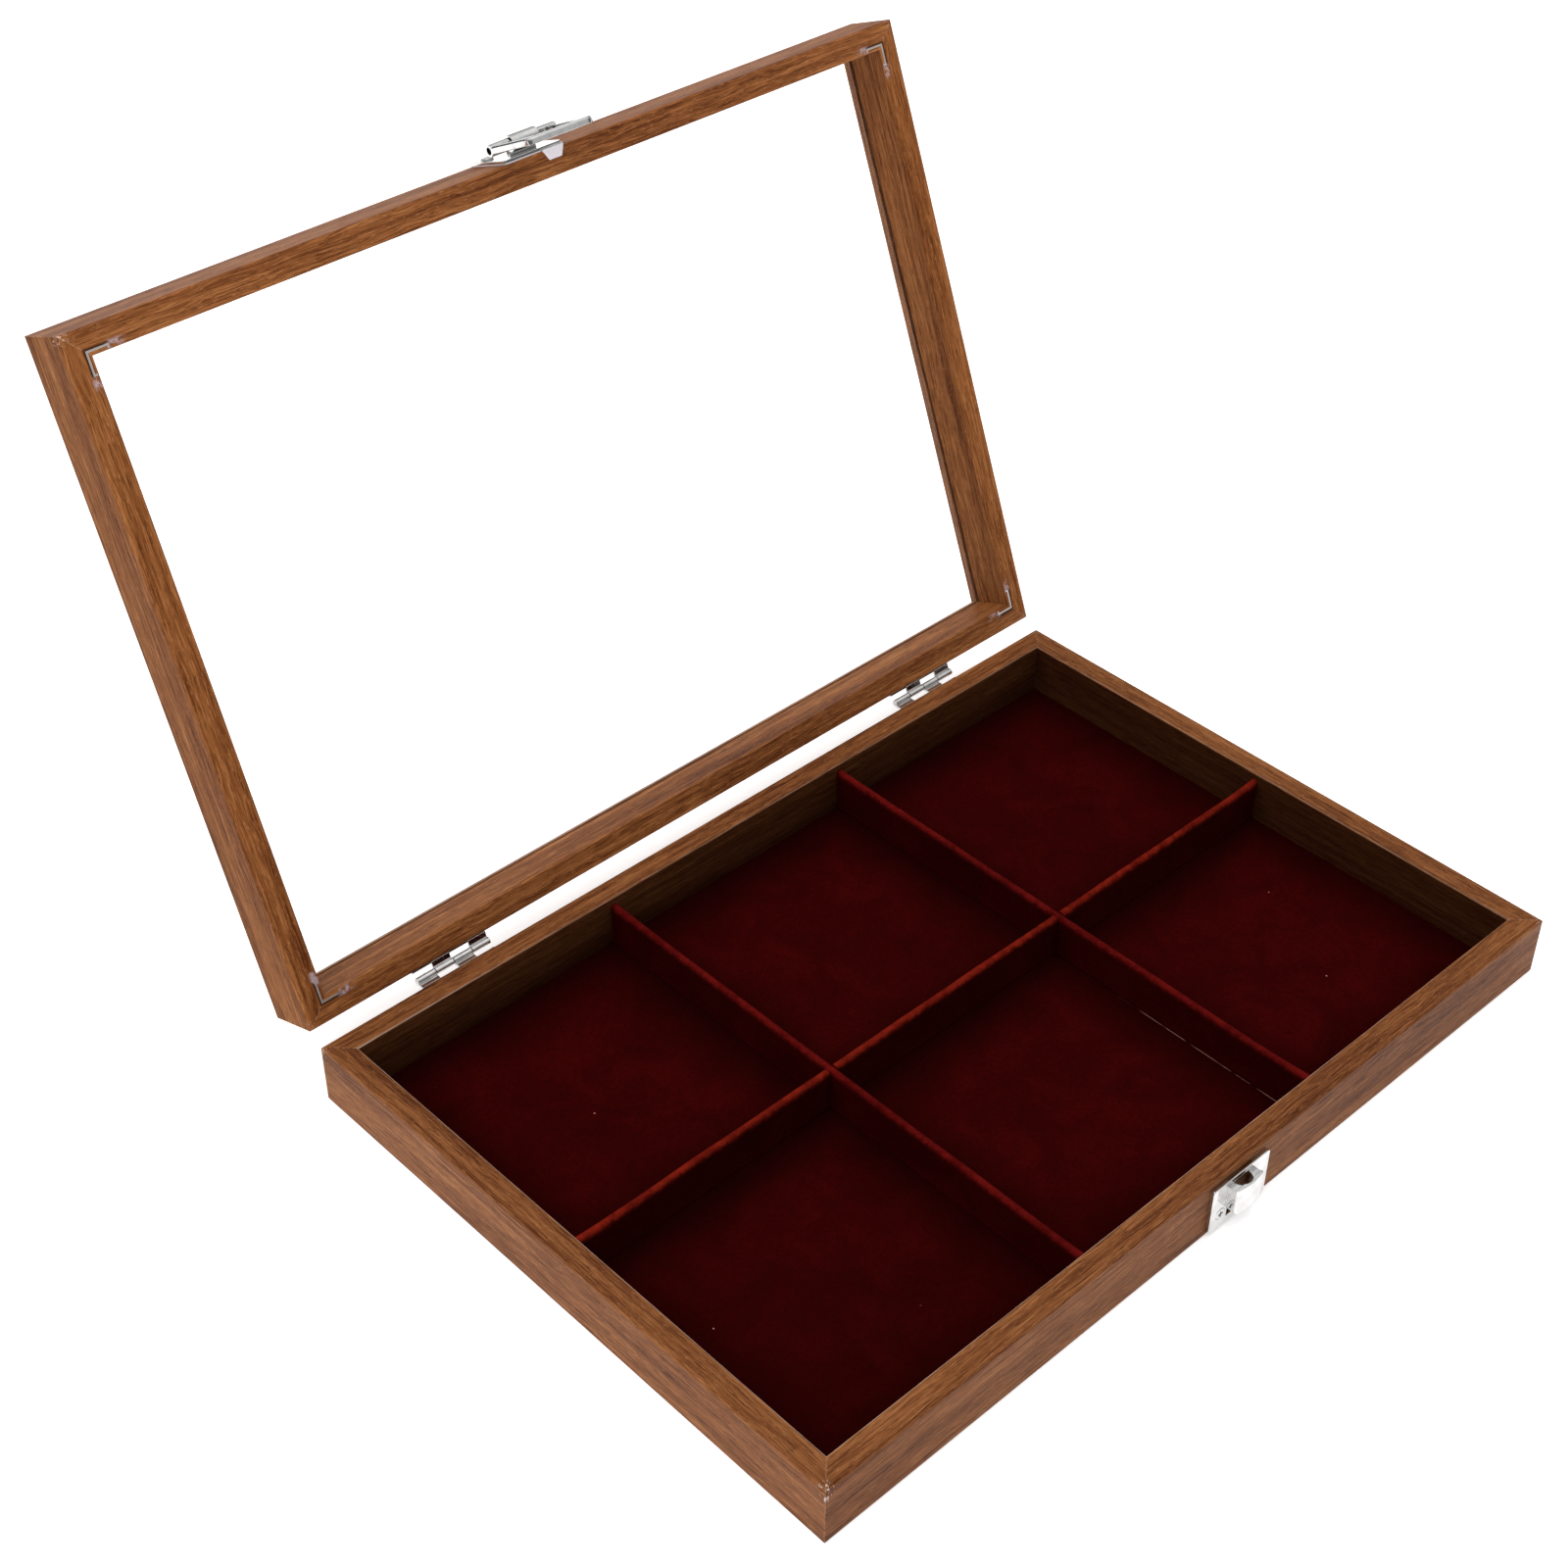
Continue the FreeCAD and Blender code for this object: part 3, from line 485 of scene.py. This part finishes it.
def velvet_floor(material):
    """The lining's floor: a thin padded board whose pile rolls over at its edges."""
    low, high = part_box("floor_pad")
    clearance = Vector((0.15 * MM, 0.15 * MM, 0.0))
    low, high = low + clearance, high - clearance
    steps_x, steps_y = 136, 90
    roll = 0.8 * MM
    wave_height = 0.07 * MM

    def height(x, y):
        edge = min(x - low.x, high.x - x, y - low.y, high.y - y)
        rolled = roll * (1 - math.sqrt(max(0.0, 1 - (1 - min(edge, roll) / roll) ** 2)))
        wave = noise.noise(Vector((x, y, 0.3)) * 55.0) * wave_height
        return high.z - wave_height - 0.8 * rolled + (wave if edge > roll else 0.0)

    def spaced(first, last, count):
        inner = [first + roll + (last - first - 2 * roll) * i / count for i in range(count + 1)]
        curl = [roll * (1 - math.cos(math.radians(angle))) for angle in (0, 30, 60)]
        return [first + c for c in curl] + inner + [last - c for c in reversed(curl)]

    xs = spaced(low.x, high.x, steps_x)
    ys = spaced(low.y, high.y, steps_y)
    form = bmesh.new()
    grid = [[form.verts.new((x, y, height(x, y))) for y in ys] for x in xs]
    for i in range(len(xs) - 1):
        for j in range(len(ys) - 1):
            form.faces.new((grid[i][j], grid[i + 1][j], grid[i + 1][j + 1], grid[i][j + 1]))
    rim = [grid[i][0] for i in range(len(xs))] + grid[-1][1:]
    rim += [grid[i][-1] for i in range(len(xs) - 2, -1, -1)] + list(reversed(grid[0][1:-1]))
    under = [form.verts.new((v.co.x, v.co.y, low.z)) for v in rim]
    for i in range(len(rim)):
        j = (i + 1) % len(rim)
        form.faces.new((rim[i], under[i], under[j], rim[j]))
    form.faces.new(under)
    mesh_piece("velvet_floor_board", form, material, "floor_pad")


def velvet_divider(name, node_name, along, notch_top, crossings, ridge_highlight_red):
    """A card divider wrapped in velvet: rounded ridge, soft sides, and a half-lap notch."""
    low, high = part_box(node_name)
    across = 1 - along
    middle = (low[across] + high[across]) / 2
    half = (high[across] - low[across]) / 2 - 0.1 * MM
    start, end = low[along] + 0.1 * MM, high[along] - 0.1 * MM
    top, bottom = high.z - 0.5 * MM, low.z + 0.05 * MM
    count = int((end - start) / (1.6 * MM))
    finish = velvet(name, ridge=(top, 2.6 * MM, ridge_highlight_red))
    rings = []
    seed = 3.7 + 11.0 * along + middle * 90
    for i in range(count + 1):
        reach = start + (end - start) * i / count
        from_end = min(reach - start, end - reach)
        wander = noise.noise(Vector((reach * 28, seed, 0))) * 0.35 * MM
        lift = noise.noise(Vector((reach * 40, seed, 5))) * 0.30 * MM
        lift += 0.9 * MM * math.exp(-from_end / (7 * MM))
        fat = 1.0 + noise.noise(Vector((reach * 60, seed, 9))) * 0.06
        end_squeeze = 1.0 - 0.10 * math.exp(-from_end / (1.2 * MM))
        crest = top + lift - half
        profile = [(-1.10, bottom), (-1.02, bottom + 0.7 * MM), (-0.96, bottom + 2.2 * MM),
                   (-0.95, bottom + 6 * MM), (-0.97, crest - 3 * MM), (-1.0, crest - 1 * MM)]
        for turn in range(0, 181, 20):
            angle = math.radians(180 - turn)
            profile.append((math.cos(angle), crest + half * math.sin(angle)))
        profile += [(-side, height) for side, height in reversed(profile[:6])]
        ring = []
        for side, height in profile:
            sway = wander * min(1.0, (height - bottom) / (10 * MM))
            point = [0.0, 0.0, height]
            point[along] = reach
            point[across] = middle + side * half * fat * end_squeeze + sway
            ring.append(point)
        rings.append(ring)
    form = bmesh.new()
    skin(form, rings)
    piece = mesh_piece(name, form, finish, node_name)
    for centre in crossings:
        cutter = notch_box(along, centre, half + 0.25 * MM, middle, notch_top)
        cut = piece.modifiers.new("half_lap", "BOOLEAN")
        cut.operation = "DIFFERENCE"
        cut.solver = "EXACT"
        cut.object = cutter
        settled = bpy.data.meshes.new_from_object(
            piece.evaluated_get(bpy.context.evaluated_depsgraph_get()))
        piece.modifiers.clear()
        old = piece.data
        piece.data = settled
        bpy.data.meshes.remove(old)
        bpy.data.objects.remove(cutter)


def notch_box(along, centre, half, middle, notch_top):
    """A box that cuts the upper or the lower half of a divider away where another crosses it."""
    across = 1 - along
    reach = 6 * MM
    joint_height = 12.5 * MM
    well_above, well_below = 40 * MM, -10 * MM
    low, high = [0.0, 0.0, 0.0], [0.0, 0.0, 0.0]
    low[along], high[along] = centre - half, centre + half
    low[across], high[across] = middle - reach, middle + reach
    if notch_top:
        low[2], high[2] = joint_height, well_above
    else:
        low[2], high[2] = well_below, joint_height + 0.1 * MM
    form = bmesh.new()
    bmesh.ops.create_cube(form, size=1.0)
    for vertex in form.verts:
        for axis in range(3):
            vertex.co[axis] = high[axis] if vertex.co[axis] > 0 else low[axis]
    mesh = bpy.data.meshes.new("notch")
    form.to_mesh(mesh)
    form.free()
    return linked("notch", mesh)


def middle_of(node_name, axis):
    low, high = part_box(node_name)
    return (low[axis] + high[axis]) / 2


long_ridge_highlight_red = (0.190, 0.0120, 0.0050)
cross_ridge_highlight_red = (0.115, 0.0050, 0.0040)
cross_places = [middle_of("cross_divider_left", 0), middle_of("cross_divider_right", 0)]
velvet_divider("velvet_long_divider", "long_divider", 0, True, cross_places, long_ridge_highlight_red)
long_place = middle_of("long_divider", 1)
wall_places = (cross_places + [-inner_x, inner_x], [long_place, -inner_y, inner_y])
velvet_floor(velvet("velvet_pile_floor", walls=wall_places))
for side in ("left", "right"):
    velvet_divider("velvet_cross_divider_" + side, "cross_divider_" + side, 1, False,
                   [long_place], cross_ridge_highlight_red)


# ---- floor, light and camera ----------------------------------------------------------------
def floor():
    """A plain pale floor, wide enough that its edges stay out of the main view."""
    net = Net("pale_floor")
    shade = net.noise(net.place, 3.0, 2.0)
    colour = net.mix(shade, (0.90, 0.90, 0.90), (0.93, 0.93, 0.93))
    net.finish(Base_Color=colour, Roughness=0.9, Specular_IOR_Level=0.1, Emission_Strength=0.42)
    net.shader.inputs["Emission Color"].default_value = (1.0, 1.0, 1.0, 1.0)
    form = bmesh.new()
    bmesh.ops.create_grid(form, x_segments=8, y_segments=8, size=6.0)
    mesh = bpy.data.meshes.new("studio_floor")
    form.to_mesh(mesh)
    form.free()
    mesh.materials.append(net.material)
    piece = linked("studio_floor", mesh)
    piece.location.z = -0.2 * MM


def studio_light():
    """Bright soft light from above, a dim ring at the horizon, and one broad soft key that
    doesn't show in the metal."""
    world = bpy.data.worlds.new("studio")
    bpy.context.scene.world = world
    world.use_nodes = True
    tree = world.node_tree
    background = tree.nodes["Background"]
    place = tree.nodes.new("ShaderNodeTexCoord").outputs["Generated"]
    apart = tree.nodes.new("ShaderNodeSeparateXYZ")
    tree.links.new(place, apart.inputs[0])
    ramp = tree.nodes.new("ShaderNodeValToRGB")
    stops = ((0.0, 0.10), (0.20, 0.16), (0.32, 0.60), (0.60, 0.55), (0.80, 1.00), (1.0, 1.30))
    while len(ramp.color_ramp.elements) < len(stops):
        ramp.color_ramp.elements.new(0.5)
    for element, (position, value) in zip(ramp.color_ramp.elements, stops):
        element.position = position
        element.color = (value, value, value, 1.0)
    tree.links.new(apart.outputs[2], ramp.inputs["Fac"])
    tree.links.new(ramp.outputs["Color"], background.inputs["Color"])
    background.inputs["Strength"].default_value = 1.0
    key = bpy.data.lights.new("key", "SUN")
    key.energy = 1.9
    key.angle = math.radians(70)
    lamp = linked("key", key)
    lamp.rotation_euler = Vector((-0.30, 0.22, 1.0)).to_track_quat("Z", "Y").to_euler()
    lamp.visible_glossy = False


def camera():
    """The eye looks down on the open case from in front of its left corner."""
    place = Vector((-0.4869, -0.4289, 0.6302))
    forward = Vector((0.53700, 0.56432, -0.62704)).normalized()
    right = Vector((0.72746, -0.68613, 0.00550))
    right = (right - right.dot(forward) * forward).normalized()
    up = right.cross(forward)
    data = bpy.data.cameras.new("camera")
    data.sensor_width = 36.0
    data.lens = 59.56
    data.clip_start = 0.01
    data.clip_end = 30.0
    eye = linked("camera", data)
    turned = Matrix((right, up, -forward)).transposed().to_4x4()
    eye.matrix_world = Matrix.Translation(place) @ turned
    bpy.context.scene.camera = eye


floor()
studio_light()
camera()
bpy.context.scene.view_settings.view_transform = "Standard"
